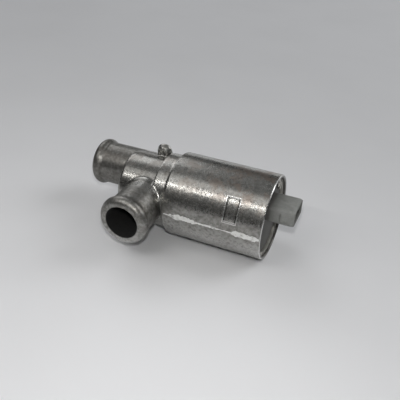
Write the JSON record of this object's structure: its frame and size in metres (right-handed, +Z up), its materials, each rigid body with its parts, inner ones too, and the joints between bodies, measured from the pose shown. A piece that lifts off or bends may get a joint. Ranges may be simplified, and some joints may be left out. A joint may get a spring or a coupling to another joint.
{
  "type": "idle air control valve",
  "caption": "Rotary idle air valve: cast body with offset in-line and side hose spigots, round actuator can with a clamp seat, recessed cap and a two-pole plug socket.",
  "frame": {"origin": "centre of the round can that the mounting clamp grips, on the main axis", "axes": "+X along the main axis towards the plug socket, -Y along the side spigot towards its mouth, +Z up, so that the casting's parting plane is z = 0"},
  "size_m": [0.1354, 0.0724, 0.0504],
  "materials": {
    "cast_aluminium": "die cast, dull and slightly stained",
    "grey_plastic": "matt glass-filled moulding",
    "zinc_steel": "zinc plated, dull",
    "bearing_steel": "ground",
    "slide_aluminium": "machined",
    "hub_brass": "turned",
    "spring_steel": "drawn wire and strip",
    "core_steel": "laminated and oiled",
    "copper": "enamelled or bare",
    "tinned_brass": "tinned",
    "ferrite": "sintered, dark",
    "carbon": "pressed graphite",
    "moulded_resin": "phenolic moulding",
    "black_rubber": "matt"
  },
  "bodies": {
    "valve_body": {"valve_housing": "cast_aluminium", "bearing_plate": "cast_aluminium", "bearing_plate_screws": "zinc_steel", "shaft_seal": "black_rubber", "front_bearing_outer_ring": "bearing_steel", "front_bearing_balls": "bearing_steel", "closed_stop_pin": "bearing_steel", "open_stop_pin": "bearing_steel", "return_spring": "spring_steel", "flux_ring": "core_steel", "left_magnet": "ferrite", "right_magnet": "ferrite", "magnet_clips": "spring_steel", "brush_plate": "moulded_resin", "brush_plate_screws": "zinc_steel", "left_brush": "carbon", "right_brush": "carbon", "left_brush_spring": "spring_steel", "right_brush_spring": "spring_steel", "left_contact_strip": "copper", "right_contact_strip": "copper", "left_terminal": "tinned_brass", "right_terminal": "tinned_brass", "rear_bearing_outer_ring": "bearing_steel", "rear_bearing_balls": "bearing_steel", "end_cap": "grey_plastic", "cap_seal": "black_rubber", "cap_circlip": "zinc_steel"},
    "rotor": {"front_bearing_inner_ring": "bearing_steel", "rotor_shaft": "bearing_steel", "rotary_slide": "slide_aluminium", "slide_retaining_ring": "zinc_steel", "spring_hub": "hub_brass", "armature_core": "core_steel", "armature_winding": "copper", "commutator_hub": "moulded_resin", "left_commutator_segment": "copper", "right_commutator_segment": "copper", "rear_bearing_inner_ring": "bearing_steel"}
  },
  "joints": [
    {"name": "slide_turn", "type": "hinge", "parent": "valve_body", "child": "rotor", "pos_m": [-0.0457, 0, 0], "axis": [1, 0, 0], "range_deg": [-12, 60], "stiffness_Nm_per_rad": 0.02}
  ]
}
